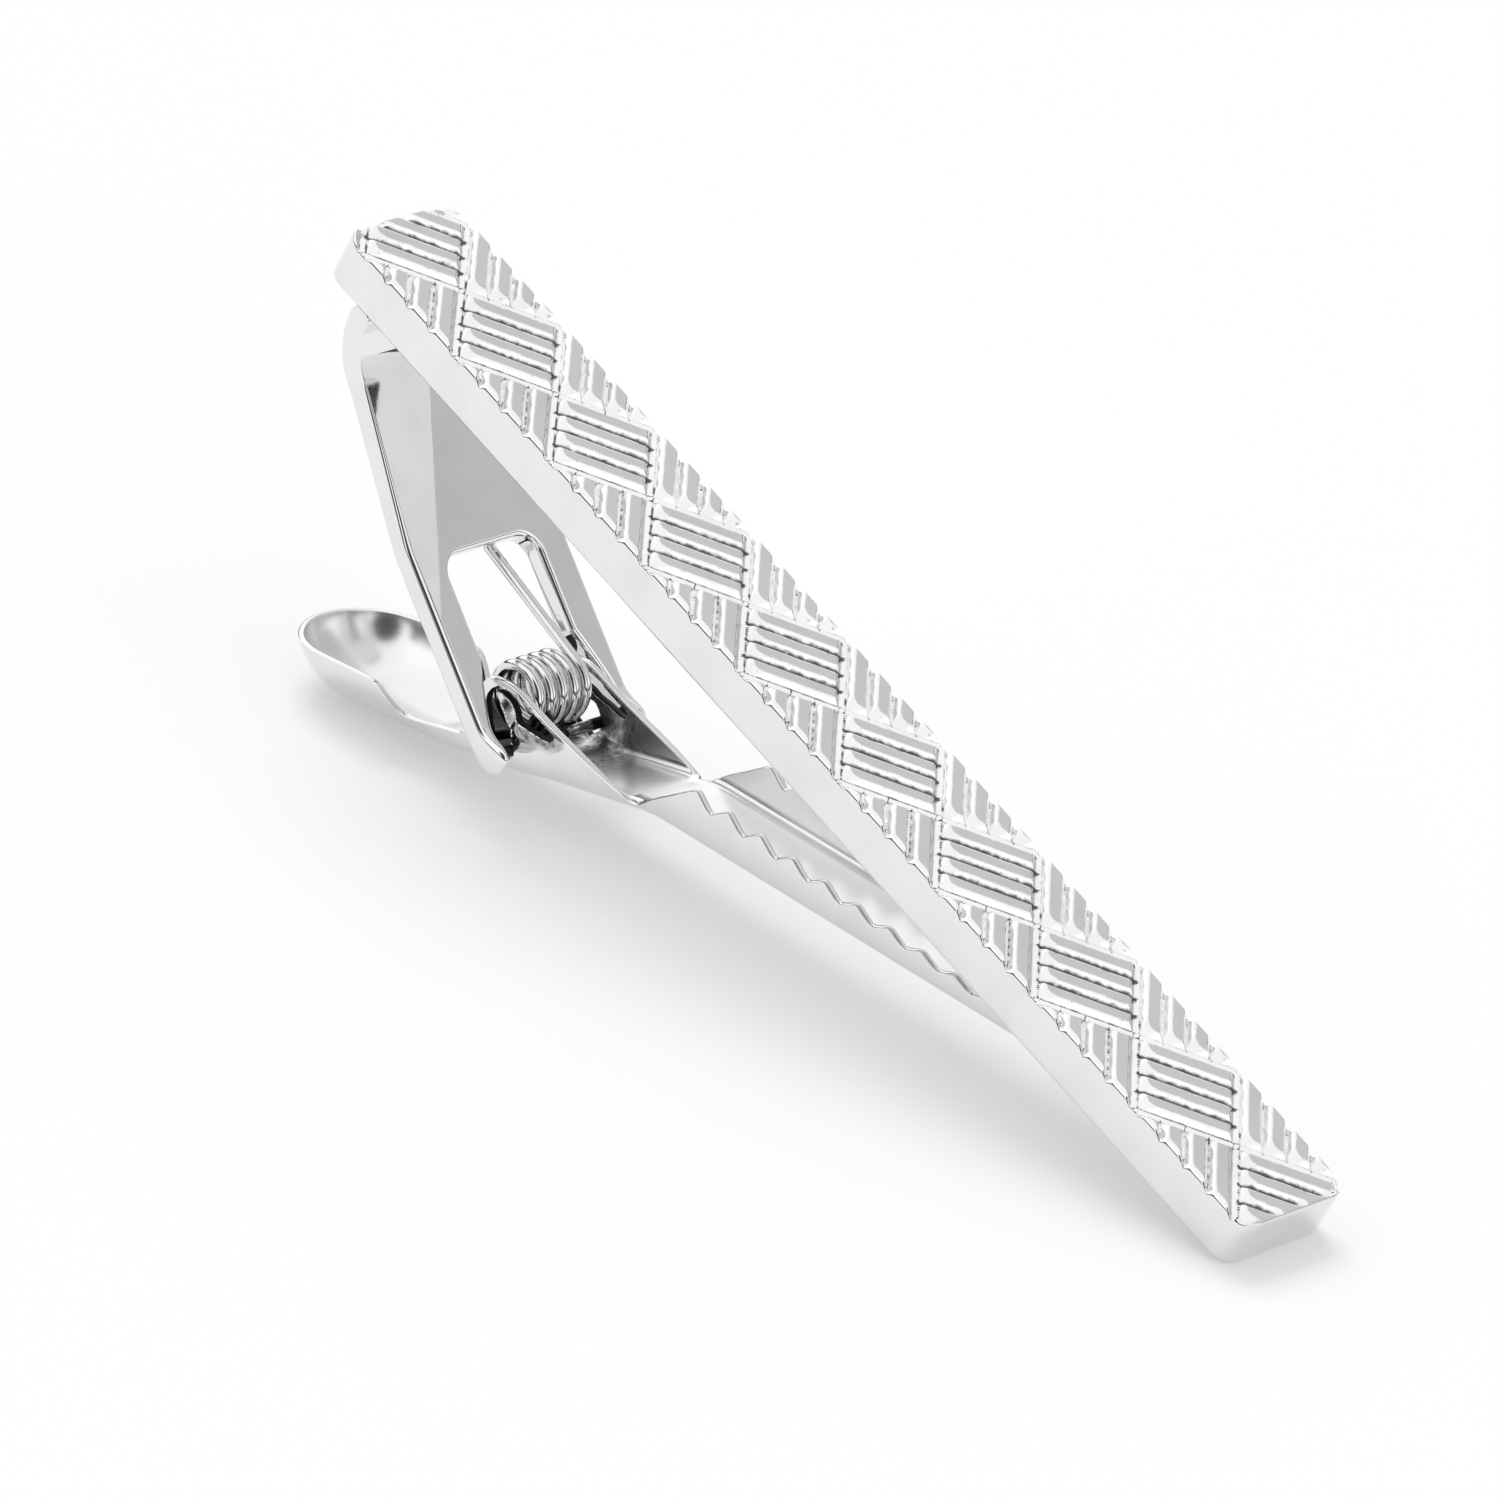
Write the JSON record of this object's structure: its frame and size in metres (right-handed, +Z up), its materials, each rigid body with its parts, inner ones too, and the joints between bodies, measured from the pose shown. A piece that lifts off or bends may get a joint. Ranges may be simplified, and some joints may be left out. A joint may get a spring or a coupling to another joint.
{
  "type": "tie clip",
  "caption": "Sprung tie clip: a bar with basket-weave ribs, a bent bracket on its back, and a toothed lever with a finger dish that closes on the bar.",
  "frame": {"origin": "on the table under the middle of the clip's box, as it lies in the picture", "axes": "+X along the bar to its free end, +Y across the bar, +Z up from the table"},
  "size_m": [0.0536, 0.0084, 0.02],
  "materials": {
    "plated_bar": "polished plating",
    "plated_bracket": "polished plating",
    "plated_lever": "polished plating",
    "spring_wire": "bright drawn wire"
  },
  "bodies": {
    "clip_frame": {"front_bar": "plated_bar", "clasp_bracket": "plated_bracket"},
    "lever": {"clip_lever": "plated_lever", "torsion_spring": "spring_wire"}
  },
  "joints": [
    {"name": "jaw_hinge", "type": "hinge", "parent": "clip_frame", "child": "lever", "pos_m": [-0.01314, 0, 0.003], "axis": [0, 1, 0], "range_deg": [0, 22], "stiffness_Nm_per_rad": 0.05, "springref_deg": -34.38, "deforming": ["torsion_spring"]}
  ]
}
